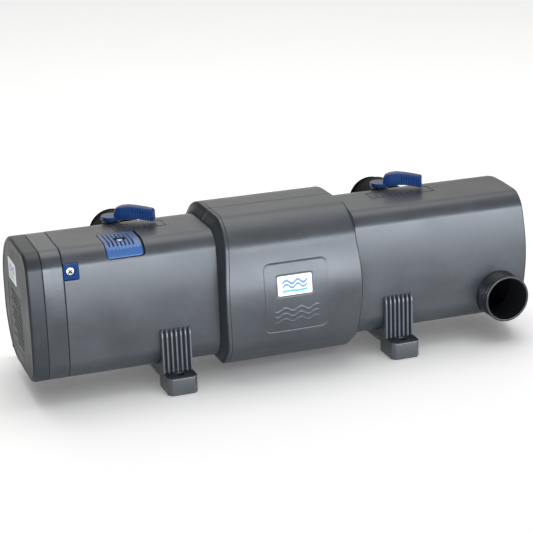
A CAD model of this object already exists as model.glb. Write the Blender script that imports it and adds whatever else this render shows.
"""Ultraviolet water treater: a D-sectioned housing lying along X on two saddle feet.

The head unit closes the left end (-X).  The inlet is on the front (-Y), the two outlets
are on the back (+Y) and their levers turn on the flat top.  Lengths are design
millimetres with z = 0 at mid section; to_world() shifts them into the frame, in metres.
"""
import math

import bmesh
import bpy
import numpy as np
from mathutils import Matrix, Vector
from mathutils.kdtree import KDTree


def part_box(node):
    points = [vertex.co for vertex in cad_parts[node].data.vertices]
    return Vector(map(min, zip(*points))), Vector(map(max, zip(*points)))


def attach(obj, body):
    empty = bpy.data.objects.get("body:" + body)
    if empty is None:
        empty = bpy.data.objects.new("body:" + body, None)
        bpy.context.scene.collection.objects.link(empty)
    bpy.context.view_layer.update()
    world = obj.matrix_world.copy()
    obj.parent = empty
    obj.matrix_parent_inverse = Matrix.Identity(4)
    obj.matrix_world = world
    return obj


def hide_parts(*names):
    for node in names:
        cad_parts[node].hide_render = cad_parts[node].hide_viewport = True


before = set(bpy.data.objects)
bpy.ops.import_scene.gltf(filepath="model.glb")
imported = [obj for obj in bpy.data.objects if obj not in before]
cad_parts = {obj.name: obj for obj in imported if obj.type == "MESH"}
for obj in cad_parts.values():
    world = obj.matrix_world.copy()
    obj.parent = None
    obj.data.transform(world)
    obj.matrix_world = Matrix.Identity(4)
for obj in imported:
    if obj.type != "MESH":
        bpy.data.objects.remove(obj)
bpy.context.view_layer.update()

X, Y, Z = 0, 1, 2

# ------------------------------------------------------------------ dimensions
HOUSING_X0, INLET_END_Y, HALF_H = -259.7, -106.0, 80.0
FRONT_Y, BACK_Y, SEAM_Y = -77.0, 81.5, -20.0
FLOOR_Z = -104.0
WALL = 4.2
DOME_X, END_SWELL = 336.5, 6.0
# the bow of the front wall: how far, at what height, and how fast it falls away
BOW, BOW_Z, BOW_FALL = 4.0, -10.0, 0.000873


def corner(radius, out_y, out_z):
    """A corner of the section: centre y, centre z and radius."""
    side = FRONT_Y if out_y < 0 else BACK_Y
    return side - out_y * radius, out_z * (HALF_H - radius), radius


TOP_FRONT, BOTTOM_FRONT = corner(23.0, -1, 1), corner(27.0, -1, -1)
TOP_BACK, BOTTOM_BACK = corner(76.0, 1, 1), corner(62.0, 1, -1)

THREAD_R, BORE_R, THREAD_PITCH = 29.8, 26.7, 2.309
INLET = (294.7, -47.0)                                        # x, z
OUTLET_Z, FLANGE_R = 44.0, 33.3
SPINDLE_Y, LEVER_REST = 24.0, math.radians(-29.0)
VALVES = {"left": (-176.0, -157.5), "right": (177.5, 197.0)}  # spindle x, outlet x
FEET = {"left": -132.2, "right": 155.2}                       # centre x
LAMP_AXIS = (0.0, -22.0)                                      # y, z
LAMP_Z = LAMP_AXIS[1]
GLAND = (-292.0, -20.0)                                       # x, z

# the cover's stand-off, edges where it meets the housing, rims and their swelling
COVER_OUT, COVER_SWELL, COVER_SKIN = 13.8, 9.7, 3.0
COVER_X0, COVER_X1, COVER_RIM0, COVER_RIM1, RIM_SWELL = -76.5, 102.0, -66.9, 92.4, 6.3
COVER_GAP = 0.3
PANEL, PANEL_R = (-25.6, 54.2, -46.0, 39.6), 8.0              # x and z bounds
LABEL = (-9.4, 34.0, -0.4, 23.4)

LATCH_X0, LATCH_X1, LATCH_TRAVEL = -206.5, -163.5, 2.5
LATCH_SCREW = (-185.2, -50.4)                                 # x, y
LOCK_SCREW = (-251.8, 57.0)                                   # x, z

_housing, _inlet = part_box("water_housing"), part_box("inlet_spigot")
ORIGIN = np.array([HOUSING_X0 - _housing[0][0] * 1000.0,
                   INLET_END_Y - _inlet[0][1] * 1000.0,
                   HALF_H - _housing[1][2] * 1000.0])


def to_world(points):
    return (np.asarray(points, float) - ORIGIN) / 1000.0


def to_design(points):
    return points * 1000.0 + ORIGIN


def design_box(node_name):
    return [to_design(np.array(q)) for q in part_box(node_name)]


# --------------------------------------------------------------- mesh building
def fetch(items, key, width=1, kind=np.float32):
    """One property of all items as an array."""
    out = np.empty(len(items) * width, kind)
    items.foreach_get(key, out)
    return out.reshape(-1, width) if width > 1 else out


def angles(count):
    return np.arange(count) * 2 * math.pi / count


def circle(centre, radius, count):
    """Points on a circle; the radius may be one value or one for each point."""
    a = angles(count)
    return np.stack([centre[0] + radius * np.cos(a), centre[1] + radius * np.sin(a)], 1)


def place(axis, distance, points):
    """Put 2-D points at a distance along an axis."""
    points = np.asarray(points, float)
    return np.insert(points, [axis], np.full((len(points), 1), float(distance)), axis=1)


class Build:
    """Collects points, in design millimetres, and faces."""

    def __init__(self):
        self.points, self.faces = [], []

    def grid(self, points, close_rows=False, close_columns=False):
        """Add a sheet of quads over points[row][column]; gives the point numbers."""
        points = np.asarray(points, float)
        rows, columns = points.shape[:2]
        ids = len(self.points) + np.arange(rows * columns).reshape(rows, columns)
        self.points.extend(points.reshape(-1, 3))
        for row in range(rows if close_rows else rows - 1):
            here, there = ids[row], ids[(row + 1) % rows]
            for i in range(columns if close_columns else columns - 1):
                j = (i + 1) % columns
                self.faces.append((here[i], there[i], there[j], here[j]))
        return ids

    def cap(self, ids):
        self.faces.append(tuple(ids))

    def fan(self, ids, point):
        tip = len(self.points)
        self.points.append(np.asarray(point, float))
        for i in range(len(ids)):
            self.faces.append((ids[i], ids[(i + 1) % len(ids)], tip))

    def turn(self, profile, centre, axis, count):
        """Turn (distance, radius) points about an axis; ends on the axis become fans."""
        rings = [place(axis, t, circle(centre, r, count)) for t, r in profile if r > 1e-9]
        ids = self.grid(rings, close_columns=True)
        for ring, (distance, radius) in ((ids[0], profile[0]), (ids[-1], profile[-1])):
            if radius <= 1e-9:
                self.fan(ring, place(axis, distance, [centre])[0])

    def mesh(self):
        me = bpy.data.meshes.new("build")
        me.from_pydata(to_world(np.array(self.points)).tolist(), [], self.faces)
        bm = bmesh.new()
        bm.from_mesh(me)
        bmesh.ops.remove_doubles(bm, verts=bm.verts, dist=1e-6)
        bmesh.ops.recalc_face_normals(bm, faces=bm.faces)
        bm.to_mesh(me)
        bm.free()
        return me


def loft(rows):
    """A solid through a row of closed outlines, with flat ends."""
    build = Build()
    ids = build.grid(rows, close_columns=True)
    build.cap(ids[0])
    build.cap(ids[-1])
    return build.mesh()


def prism(outline, lo, hi, axis):
    return loft(np.stack([place(axis, lo, outline), place(axis, hi, outline)]))


def turned(profile, centre, axis, count):
    """A turned solid."""
    build = Build()
    build.turn(profile, centre, axis, count)
    return build.mesh()


def cylinder(centre, radius, lo, hi, axis, count):
    return turned([(lo, 0), (lo, radius), (hi, radius), (hi, 0)], centre, axis, count)


def hoop(profile, centre, axis, count):
    """Turn a closed (distance, radius) profile; a radius may vary round the ring."""
    build = Build()
    build.grid([place(axis, t, circle(centre, r, count)) for t, r in profile],
               close_rows=True, close_columns=True)
    return build.mesh()


def fillet(points, steps=4):
    """Round an open polyline of (u, v) or, at a rounded corner, (u, v, radius)."""
    radii = [(*p, 0.0)[2] for p in points]
    points = [np.array(p[:2], float) for p in points]
    out = [points[0]]
    for i in range(1, len(points) - 1):
        p = points[i]
        before, after = points[i - 1] - p, points[i + 1] - p
        length0, length1 = np.linalg.norm(before), np.linalg.norm(after)
        before, after = before / length0, after / length1
        angle = math.acos(max(-1, min(1, float(before @ after))))
        if radii[i] <= 0 or angle > math.pi - 0.02:
            out.append(p)
            continue
        d = min(radii[i] / math.tan(angle / 2), length0 * 0.49, length1 * 0.49)
        for k in range(steps + 1):
            t = k / steps
            out.append((1 - t) ** 2 * (p + before * d) + 2 * t * (1 - t) * p
                       + t ** 2 * (p + after * d))
    out.append(points[-1])
    return [tuple(q) for q in out]


def rounded_rect(u0, u1, v0, v1, radius, steps):
    """Outline of a rectangle with rounded corners; radius may be four radii."""
    radii = radius if isinstance(radius, list) else [radius] * 4
    corners = ((u0, v0, 1, 1), (u1, v0, -1, 1), (u1, v1, -1, -1), (u0, v1, 1, -1))
    out = []
    for (u, v, in_u, in_v), start, r in zip(corners, (180, 270, 0, 90), radii):
        for i in range(steps + 1):
            a = math.radians(start + 90 * i / steps)
            out.append((u + in_u * r + r * math.cos(a), v + in_v * r + r * math.sin(a)))
    return out


def plate(bounds, radius, steps, lo, hi, axis):
    """A rounded rectangle with bounds (u0, u1, v0, v1), from lo to hi along an axis."""
    return prism(rounded_rect(*bounds, radius, steps), lo, hi, axis)


def tube(points, radius, count):
    points = [Vector(p) for p in points]
    rows, side = [], None
    for i, p in enumerate(points):
        ahead = (points[min(i + 1, len(points) - 1)] - points[max(i - 1, 0)]).normalized()
        if side is None:
            side = ahead.cross(Vector((0, 0, 1)))
            if side.length < 0.1:
                side = ahead.cross(Vector((0, 1, 0)))
        side = (side - ahead * side.dot(ahead)).normalized()
        up = ahead.cross(side).normalized()
        rows.append([tuple(p + side * (radius * math.cos(2 * math.pi * k / count))
                           + up * (radius * math.sin(2 * math.pi * k / count)))
                     for k in range(count)])
    return loft(rows)


def smoothstep(a, b, x):
    t = np.clip((x - a) / (b - a), 0.0, 1.0)
    return float(t * t * (3 - 2 * t))


# ------------------------------------------------------ mesh and object helpers
def scene_object(name, data):
    ob = bpy.data.objects.new(name, data)
    bpy.context.scene.collection.objects.link(ob)
    return ob


def evaluated(ob):
    """The mesh an object's modifiers give; the object is removed."""
    bpy.context.view_layer.update()
    graph = bpy.context.evaluated_depsgraph_get()
    me = bpy.data.meshes.new_from_object(ob.evaluated_get(graph))
    bpy.data.objects.remove(ob, do_unlink=True)
    return me


def boolean(me, join=(), keep=(), cut=()):
    """Join meshes to a mesh, then keep what lies in others, then cut others away."""
    ob = scene_object("work", me)
    tools = []
    for meshes, operation in ((join, 'UNION'), (keep, 'INTERSECT'), (cut, 'DIFFERENCE')):
        for tool in meshes:
            tools.append(scene_object("tool", tool))
            modifier = ob.modifiers.new("boolean", 'BOOLEAN')
            modifier.operation = operation
            modifier.solver = 'EXACT'
            modifier.object = tools[-1]
    out = evaluated(ob)
    for tool in tools:
        bpy.data.objects.remove(tool, do_unlink=True)
    return out


def bevelled(me, width, segments=2, angle=30.0):
    """Round a mesh's sharp edges, by a width in millimetres."""
    ob = scene_object("work", me)
    modifier = ob.modifiers.new("bevel", 'BEVEL')
    modifier.width = width / 1000.0
    modifier.segments = segments
    modifier.limit_method = 'ANGLE'
    modifier.angle_limit = math.radians(angle)
    return evaluated(ob)


def join_meshes(meshes):
    bm = bmesh.new()
    for me in meshes:
        bm.from_mesh(me)
    out = bpy.data.meshes.new("joined")
    bm.to_mesh(out)
    bm.free()
    return out


def mark(me, slot, faces=slice(None)):
    """Give faces a material slot; what a marked cutter cuts keeps the cutter's slot."""
    while len(me.materials) < 3:
        me.materials.append(None)
    index = fetch(me.polygons, "material_index", kind=np.int32)
    index[faces] = slot
    me.polygons.foreach_set("material_index", index)
    return me


def mark_where(me, slot, test):
    """Mark the faces whose centre x, y, z pass a test."""
    centres = to_design(fetch(me.polygons, "center", 3).astype(float))
    return mark(me, slot, test(*centres.T))


def piece(me, name, body, materials, replaces=None, sharp=32.0, swept=False):
    """Make the object of one piece; a swept skin also gets its true normals."""
    me.name = name
    me.shade_smooth()
    me.set_sharp_from_angle(angle=math.radians(sharp))
    ob = scene_object(name, me)
    index = fetch(me.polygons, "material_index", kind=np.int32)
    if not isinstance(materials, list):
        materials = [materials]
        index[:] = 0
    me.materials.clear()
    for material in materials:
        me.materials.append(material)
    me.polygons.foreach_set("material_index", index)
    if swept:
        section_normals(me)
    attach(ob, body)
    if replaces:
        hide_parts(replaces)


# -------------------------------------------------------- the D-shaped section
def stations(top_front=16, front=22, bottom_front=14, bottom=6, bottom_back=26, back=3,
             top_back=34):
    """Stations (y, z, normal y, normal z) from the top seam round by the front."""
    out = []

    def arc(centre, start, end, steps):
        y, z, radius = centre
        for i in range(steps + 1):
            a = math.radians(start + (end - start) * i / steps)
            out.append((y + radius * math.cos(a), z + radius * math.sin(a),
                        math.cos(a), math.sin(a)))

    def line(start, end, normal, steps):
        for i in range(1, steps):
            t = i / steps
            out.append((start[0] + (end[0] - start[0]) * t,
                        start[1] + (end[1] - start[1]) * t, *normal))

    up, down = (0.0, 1.0), (0.0, -1.0)
    top_seam, bottom_seam = (SEAM_Y, HALF_H), (SEAM_Y, -HALF_H)
    out.append(top_seam + up)
    line(top_seam, (TOP_FRONT[0], HALF_H), up, 4)
    arc(TOP_FRONT, 90, 180, top_front)
    line((FRONT_Y, TOP_FRONT[1]), (FRONT_Y, BOTTOM_FRONT[1]), (-1.0, 0.0), front)
    arc(BOTTOM_FRONT, 180, 270, bottom_front)
    line((BOTTOM_FRONT[0], -HALF_H), bottom_seam, down, bottom)
    out.append(bottom_seam + down)
    line(bottom_seam, (BOTTOM_BACK[0], -HALF_H), down, 4)
    arc(BOTTOM_BACK, 270, 360, bottom_back)
    line((BACK_Y, BOTTOM_BACK[1]), (BACK_Y, TOP_BACK[1]), (1.0, 0.0), back)
    arc(TOP_BACK, 0, 90, top_back)
    line((TOP_BACK[0], HALF_H), top_seam, up, 4)
    return out


SECTION = stations()
SEAM_INDEX = next(i for i, s in enumerate(SECTION) if i > 0 and s[0] == SEAM_Y)
FRONT_HALF = SECTION[:SEAM_INDEX + 1]
BACK_HALF = SECTION[SEAM_INDEX:] + [SECTION[0]]


def lift(station, off):
    """The y and z of a station, moved out by an offset and bowed at the front."""
    y, z, ny, nz = station
    y, z = y + off * ny, z + off * nz
    bow = BOW - BOW_FALL * (z - BOW_Z) ** 2
    if ny < 0 and 0.0 <= nz < 0.15:          # front wall, up to the crease
        return FRONT_Y - off - bow, z
    return y - max(0.0, bow) * max(0.0, -ny) * (nz < 0.15), z


def sweep(profile, path=SECTION, relief=None):
    """Grid of path stations by (x, offset) points, with a relief added to the offset."""
    rows = []
    for station in path:
        row = []
        for x, off in (profile(station) if callable(profile) else profile):
            if relief is not None:
                off = off + relief(x, station, off)
            row.append((x, *lift(station, off)))
        rows.append(row)
    return np.array(rows)


def round_section(profile, closed=False):
    """Sweep a profile right round the section; an open one gets end walls."""
    build = Build()
    ids = build.grid(sweep(profile), close_rows=True, close_columns=closed)
    if not closed:
        build.cap(ids[:, 0])
        build.cap(ids[:, -1])
    return build.mesh()


def section_normals(me):
    """Give the swept skin its true normals, so that cuts leave no marks."""
    fine = stations(120, 260, 100, 20, 160, 12, 200)
    points = np.array([lift(s, 0.0) for s in fine])
    tangents = np.roll(points, -1, 0) - np.roll(points, 1, 0)
    normals = np.stack([-tangents[:, 1], tangents[:, 0]], 1)
    normals /= np.linalg.norm(normals, axis=1)[:, None]
    outward = np.array([s[2:] for s in fine])
    normals *= np.sign((normals * outward).sum(1))[:, None]
    finder = KDTree(len(points))
    for i, p in enumerate(points):
        finder.insert((p[0], p[1], 0.0), i)
    finder.balance()
    places = to_design(fetch(me.vertices, "co", 3))
    true_normals = np.zeros((len(places), 3))
    distances = np.zeros(len(places))
    for i, p in enumerate(places):
        _, nearest, distances[i] = finder.find((p[1], p[2], 0.0))
        true_normals[i, 1:] = normals[nearest]
    vertex = fetch(me.loops, "vertex_index", kind=np.int32)
    out = fetch(me.corner_normals, "vector", 3)
    totals = fetch(me.polygons, "loop_total", kind=np.int32)
    flat = np.repeat(fetch(me.polygons, "normal", 3), totals, axis=0)
    wanted = true_normals[vertex]
    on_skin = ((np.abs(flat[:, 0]) < 0.05) & ((flat * wanted).sum(1) > 0.93)
               & (distances[vertex] < 0.25))
    out[on_skin] = wanted[on_skin]
    me.normals_split_custom_set([tuple(v) for v in out])


# ------------------------------------------------------------------- materials
def feed(tree, target, inputs):
    """Set a node's inputs; a socket given as a value is linked."""
    for key, value in inputs.items():
        if isinstance(value, bpy.types.NodeSocket):
            tree.links.new(value, target.inputs[key])
        else:
            target.inputs[key].default_value = value


def node(tree, kind, inputs=None, **settings):
    made = tree.nodes.new(kind)
    for key, value in settings.items():
        setattr(made, key, value)
    feed(tree, made, inputs or {})
    return made


def new_material(name):
    """A material, its node tree, its main shader and its object coordinates."""
    material = bpy.data.materials.new(name)
    material.use_nodes = True
    tree = material.node_tree
    coords = node(tree, "ShaderNodeTexCoord").outputs["Object"]
    return material, tree, tree.nodes["Principled BSDF"], coords


def noise(tree, coords, scale, detail, roughness=0.5):
    return node(tree, "ShaderNodeTexNoise", {"Vector": coords, "Scale": scale, "Detail": detail,
                                             "Roughness": roughness}).outputs["Fac"]


def map_range(tree, value, source, target, **settings):
    """Map a value from the source (low, high) to the target (low, high)."""
    return node(tree, "ShaderNodeMapRange",
                {"Value": value, "From Min": source[0], "From Max": source[1],
                 "To Min": target[0], "To Max": target[1]}, **settings).outputs["Result"]


def ramp(tree, value, low, high, stops=(0.0, 1.0)):
    made = node(tree, "ShaderNodeValToRGB", {"Fac": value})
    for element, stop, colour in zip(made.color_ramp.elements, stops, (low, high)):
        element.position = stop
        element.color = (*colour, 1)
    return made.outputs["Color"]


def mix(tree, factor, first, second):
    """Mix two colours; inputs 6 and 7 and output 2 are the colour sockets."""
    return node(tree, "ShaderNodeMix", {0: factor, 6: first, 7: second},
                data_type='RGBA').outputs[2]


def calc(tree, operation, *values):
    return node(tree, "ShaderNodeMath", dict(enumerate(values)), operation=operation).outputs[0]


def bump_normal(tree, height, distance, **normal):
    """A bump of a height in millimetres."""
    return node(tree, "ShaderNodeBump", {"Height": height, "Distance": distance / 1000.0,
                                         **normal}).outputs["Normal"]


def plastic(name, colour, rough=0.42, vary=0.10, grain=1400.0, bump=0.010, wear=0.25,
            spec=0.5, dust=0.0, dull=None):
    """Moulded plastic: mottled colour, fine grain, polished edges, dust on what faces up."""
    material, tree, bsdf, coords = new_material(name)
    broad = noise(tree, coords, scale=16.0, detail=4.0, roughness=0.6)
    medium = noise(tree, coords, scale=130.0, detail=3.0, roughness=0.55)
    fine = noise(tree, coords, scale=grain, detail=2.0, roughness=0.6)
    mottled = ramp(tree, broad, [c * (1 - vary) for c in colour],
                   [c * (1 + vary) for c in colour], stops=(0.30, 0.72))
    speckle = map_range(tree, medium, source=(0.35, 0.70), target=(0.94, 1.06))
    speckled = node(tree, "ShaderNodeVectorMath", {0: mottled, "Scale": speckle},
                    operation='SCALE').outputs["Vector"]
    geometry = node(tree, "ShaderNodeNewGeometry")
    edge = map_range(tree, geometry.outputs["Pointiness"], source=(0.52, 0.62),
                     target=(0.0, wear))
    worn = mix(tree, edge, speckled, (*[min(1.0, c * 1.9 + 0.02) for c in colour], 1))
    facing = node(tree, "ShaderNodeSeparateXYZ", {0: geometry.outputs["Normal"]})
    upward = map_range(tree, facing.outputs["Z"], source=(0.55, 1.0), target=(0.0, dust))
    dusty = mix(tree, calc(tree, 'MULTIPLY', upward, medium), worn, (0.42, 0.41, 0.39, 1))
    rough_vary = 0.06
    grained = bump_normal(tree, fine, bump)
    feed(tree, bsdf, {
        "Base Color": dusty,
        "Roughness": map_range(tree, broad, source=(0.3, 0.7),
                               target=(rough - rough_vary, rough + rough_vary)),
        "Specular IOR Level": spec,
        "Coat Roughness": 0.25,
        "Normal": bump_normal(tree, medium, bump * 0.9, Normal=grained)})
    if dull:
        side = map_range(tree, facing.outputs[dull["axis"]], source=(dull["full"], dull["none"]),
                         target=(spec * dull["left"], spec), interpolation_type='SMOOTHSTEP')
        feed(tree, bsdf, {"Specular IOR Level": side})
    return material


def steel(name):
    material, tree, bsdf, coords = new_material(name)
    grain = noise(tree, coords, scale=2600.0, detail=3.0)
    feed(tree, bsdf, {
        "Base Color": ramp(tree, grain, low=(0.52, 0.51, 0.49), high=(0.80, 0.79, 0.77)),
        "Roughness": map_range(tree, grain, source=(0.0, 1.0), target=(0.18, 0.40)),
        "Metallic": 1.0})
    return material


def glass(name, tint, alpha, rough):
    """Clear tube glass: see-through face on, brighter at the limb."""
    material, tree, bsdf, coords = new_material(name)
    cloud = noise(tree, coords, scale=60.0, detail=3.0)
    limb = node(tree, "ShaderNodeLayerWeight", {"Blend": 0.35}).outputs["Facing"]
    feed(tree, bsdf, {
        "Alpha": map_range(tree, limb, source=(0.0, 1.0), target=(alpha, 0.95)),
        "Base Color": ramp(tree, cloud, low=[c * 0.93 for c in tint], high=tint),
        "Roughness": map_range(tree, cloud, source=(0.0, 1.0), target=(rough, rough + 0.08))})
    return material


def label_film(name, axis, low, high):
    """White film with plain wave bands, between two corners of its box in metres."""
    material, tree, bsdf, coords = new_material(name)
    split = node(tree, "ShaderNodeSeparateXYZ", {0: coords})
    across, up = (map_range(tree, split.outputs[i], source=(low[i], high[i]),
                            target=(0.0, 1.0), clamp=False) for i in (axis, Z))

    def band(centre, width, swing, waves):
        """Within a width of a wavy line; all but waves are parts of the label's height."""
        wave = calc(tree, 'SINE', calc(tree, 'MULTIPLY', across, waves * 6.2832))
        height = calc(tree, 'ADD', up, calc(tree, 'MULTIPLY', wave, swing))
        gap = calc(tree, 'ABSOLUTE', calc(tree, 'SUBTRACT', height, centre))
        return calc(tree, 'LESS_THAN', gap, width)

    margin = 0.13
    inside = calc(tree, 'MULTIPLY', calc(tree, 'GREATER_THAN', across, margin),
                  calc(tree, 'LESS_THAN', across, 1.0 - margin))
    waves = calc(tree, 'MAXIMUM', band(centre=0.68, width=0.075, swing=0.09, waves=3.0),
                 band(centre=0.47, width=0.06, swing=0.09, waves=3.0))
    upper = calc(tree, 'MULTIPLY', waves, inside)
    lower = calc(tree, 'MULTIPLY', band(centre=0.22, width=0.06, swing=0.015, waves=2.0),
                 inside)
    grain = noise(tree, coords, scale=300.0, detail=3.0)
    white = ramp(tree, grain, low=(0.60, 0.585, 0.56), high=(0.66, 0.64, 0.61))
    blue = mix(tree, upper, white, (0.035, 0.10, 0.32, 1))
    feed(tree, bsdf, {"Base Color": mix(tree, lower, blue, (0.04, 0.26, 0.28, 1)),
                      "Roughness": 0.3,
                      "Normal": bump_normal(tree, grain, 0.01)})
    return material


# shine left on faces turned one way: the normal's part along an axis at which the
# dulling is full and none, and the share of shine left where it is full
ENDWISE = dict(axis="X", full=-0.90, none=-0.40, left=0.06)
CAPWISE = dict(axis="X", full=-0.95, none=-0.40, left=0.30)
UPWARD = dict(axis="Z", full=0.85, none=0.30, left=0.0)
FRONTWARD = dict(axis="Y", full=-0.75, none=-0.25, left=0.12)

GREY = (0.025, 0.0275, 0.031)
BODY = plastic("body_plastic", GREY, rough=0.34, vary=0.16, spec=0.52, dull=ENDWISE)
COVER = plastic("cover_plastic", GREY, rough=0.33, vary=0.16, spec=0.52, dull=ENDWISE)
HEAD = plastic("head_plastic", (0.017, 0.019, 0.0225), rough=0.36, vary=0.16, spec=0.27,
               dull=CAPWISE)
RING = plastic("ring_plastic", (0.021, 0.0235, 0.027), rough=0.24, vary=0.22, spec=0.52,
               dull=ENDWISE)
FOOT = plastic("foot_plastic", (0.023, 0.025, 0.028), rough=0.36, bump=0.014, wear=0.8,
               spec=0.75, dull=UPWARD)
RIB = plastic("rib_plastic", (0.050, 0.055, 0.063), rough=0.33, wear=0.6, spec=0.75)
PORT = plastic("port_plastic", (0.010, 0.011, 0.013), rough=0.30, wear=0.9, spec=0.42,
               dull=ENDWISE)
BLUE = plastic("blue_plastic", (0.006, 0.024, 0.086), rough=0.30, bump=0.006, spec=0.40,
               dull=FRONTWARD)
LATCH_BLUE = plastic("latch_plastic", (0.013, 0.060, 0.178), rough=0.30, vary=0.08,
                     bump=0.005, wear=0.2, spec=0.60)
LATCH_GROOVE = plastic("latch_groove_plastic", (0.003, 0.014, 0.065), rough=0.45, vary=0.08,
                       bump=0.004, wear=0.0, spec=0.12)
LATCH_POINT = plastic("latch_point_plastic", (0.05, 0.19, 0.45), rough=0.35, vary=0.05,
                      bump=0.004, wear=0.2, spec=0.45)
BLACK = plastic("black_plastic", (0.007, 0.007, 0.008), rough=0.48, wear=0.2, spec=0.4)
COLLAR = plastic("collar_plastic", (0.004, 0.004, 0.005), rough=0.55, wear=0.6, spec=0.05)
EDGE = plastic("edge_plastic", (0.006, 0.0065, 0.008), rough=0.45, wear=0.0, spec=0.12)
RUBBER = plastic("rubber", (0.010, 0.010, 0.010), rough=0.72, grain=2200.0, bump=0.02,
                 wear=0.1, spec=0.3)
WHITE = plastic("lamp_base_plastic", (0.72, 0.71, 0.68), rough=0.45, vary=0.05, wear=0.1,
                dust=0.05)
ROTOR = plastic("rotor_plastic", (0.33, 0.34, 0.34), vary=0.06, wear=0.15, dust=0.05)
RED = plastic("switch_plastic", (0.32, 0.03, 0.025), rough=0.4, vary=0.08, dust=0.05)
INNER = plastic("inner_plastic", (0.006, 0.006, 0.007), rough=0.60, wear=0.1, spec=0.2)
STEEL = steel("bright_steel")
QUARTZ = glass("quartz_glass", tint=(0.80, 0.90, 0.94), alpha=0.16, rough=0.03)
LAMP_GLASS = glass("lamp_glass", tint=(0.90, 0.93, 0.95), alpha=0.45, rough=0.05)

# =============================================================== water housing
# (x, offset) from the inner end wall, along the inside, round the left rim and back
HOUSING_PROFILE = [(325.4, -WALL), (200.0, -WALL), (0.0, -WALL), (-200.0, -WALL),
                   (-258.9, -WALL), (HOUSING_X0, -WALL + 0.7),
                   (HOUSING_X0, -1.1), (-259.55, -0.55), (-259.1, -0.15), (-258.4, 0.0)]
HOUSING_PROFILE += [(x, 0.0) for x in np.arange(-256.0, 320.0, 6.0)] + [(322.0, 0.0)]
# the rim of the closed right end, which swells
END_RIM = [(325.2, 0.0), (326.3, -0.05), (327.0, -0.26), (327.5, -0.66), (327.85, -1.2),
           (328.0, -1.95)]
RECESS_Z, RECESS_X0, RECESS_X1 = 63.8, LATCH_X0 - 0.95, LATCH_X1 + LATCH_TRAVEL + 0.3


def end_swell(station):
    """How far the edge of the closed end stands out at one station."""
    y, z, ny, nz = station
    side = math.cos(math.pi / 2 * min(1.0, abs(z) / 95.0)) ** 2
    across = math.cos(math.pi / 2 * min(1.0, abs(y - 4.0) / 90.0)) ** 2
    return END_SWELL * (ny * ny * side + nz * nz * across)


def inside_wall(x, y, z):
    """Whether points lie at least 2 mm under the housing's skin."""
    deep = ((x < 326.0) & (x > -258.0) & (np.abs(z) < HALF_H - 2.0)
            & (y > FRONT_Y + 0.4) & (y < BACK_Y - 2.0))
    for (cy, cz, radius), out_y, out_z in ((TOP_BACK, 1, 1), (BOTTOM_BACK, 1, -1),
                                           (TOP_FRONT, -1, 1), (BOTTOM_FRONT, -1, -1)):
        deep &= np.hypot(np.maximum(out_y * (y - cy), 0),
                         np.maximum(out_z * (z - cz), 0)) < radius - 2.0
    return deep


def plain_shell():
    build = Build()
    skin = sweep(HOUSING_PROFILE + END_RIM)
    skin[:, -len(END_RIM):, 0] += np.array([end_swell(s) for s in SECTION])[:, None]
    ids = build.grid(skin, close_rows=True)
    build.cap(ids[:, 0])                     # inner end wall
    rim = skin[:, -1, :]
    tip = np.array([DOME_X, 0.0, 0.0])
    rings = [rim]
    for t in (0.04, 0.10, 0.2, 0.35, 0.55, 0.8):
        ring = rim + (tip - rim) * t
        ring[:, 0] = rim[:, 0] + (DOME_X - rim[:, 0]) * (1 - (1 - t) ** 2)
        rings.append(ring)
    build.fan(build.grid(rings, close_columns=True)[-1], tip)
    me = mark_where(build.mesh(), 1, inside_wall)
    # the rounded rim of the closed end lies in its own shadow
    rows, strips = ids.shape[0], ids.shape[1] - 1
    return mark(me, 1, np.arange(rows * strips).reshape(rows, strips)[:, -4:].ravel())


def strip_path(y_start, z_end, flat_steps, arc_steps):
    """Stations from the flat top over the top front corner, down to a height."""
    cy, cz, radius = TOP_FRONT
    out = [(y_start + (cy - y_start) * i / flat_steps, HALF_H, 0.0, 1.0)
           for i in range(flat_steps)]
    end = 180 - math.degrees(math.asin((z_end - cz) / radius))
    for i in range(arc_steps + 1):
        a = math.radians(90 + (end - 90) * i / arc_steps)
        out.append((cy + radius * math.cos(a), cz + radius * math.sin(a),
                    math.cos(a), math.sin(a)))
    return out


def latch_recess():
    slab = loft(sweep([(RECESS_X0, -2.2), (RECESS_X1, -2.2), (RECESS_X1, 3.0),
                       (RECESS_X0, 3.0)], strip_path(-25.2, RECESS_Z, 10, 26)))
    window = plate((RECESS_X0, RECESS_X1, RECESS_Z, 120.0), [5.0, 5.0, 1.0, 1.0], 8,
                   -120.0, 0.0, Y)
    return boolean(slab, keep=[window])


def housing_shell():
    bosses, cuts = [], []
    for valve_x, outlet_x in VALVES.values():
        spindle, outlet = (valve_x, SPINDLE_Y), (outlet_x, OUTLET_Z)
        bosses.append(turned(fillet([(71.5, 0), (71.5, 11.0, 0.2), (80.0, 11.0, 0.9),
                                     (80.0, 0)]), spindle, Z, 56))
        bosses.append(mark(turned(fillet([(31.5, 0), (31.5, FLANGE_R, 0.3),
                                          (81.7, FLANGE_R, 1.4), (81.7, 0)]),
                                  outlet, Y, 96), 2))
        cuts.append(cylinder(outlet, 30.2, 28.0, 96.0, Y, 96))
        cuts.append(turned([(60.0, 0), (60.0, 5.14), (75.6, 5.14), (75.6, 7.2), (84.0, 7.2),
                            (84.0, 0)], spindle, Z, 40))
    cuts.append(cylinder(INLET, 30.15, -130.0, -54.0, Y, 96))
    cuts.append(latch_recess())
    # notch for the lock tab
    cuts.append(plate((-270.0, -241.4, 46.2, 69.8), [0.1, 1.2, 1.2, 0.1], 4,
                      -90.0, -75.1, Y))
    return boolean(plain_shell(), join=bosses, cut=[mark(tool, 1) for tool in cuts])


piece(housing_shell(), "housing_shell", "housing", [BODY, INNER, COLLAR],
      "water_housing", sharp=30.0, swept=True)

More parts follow.
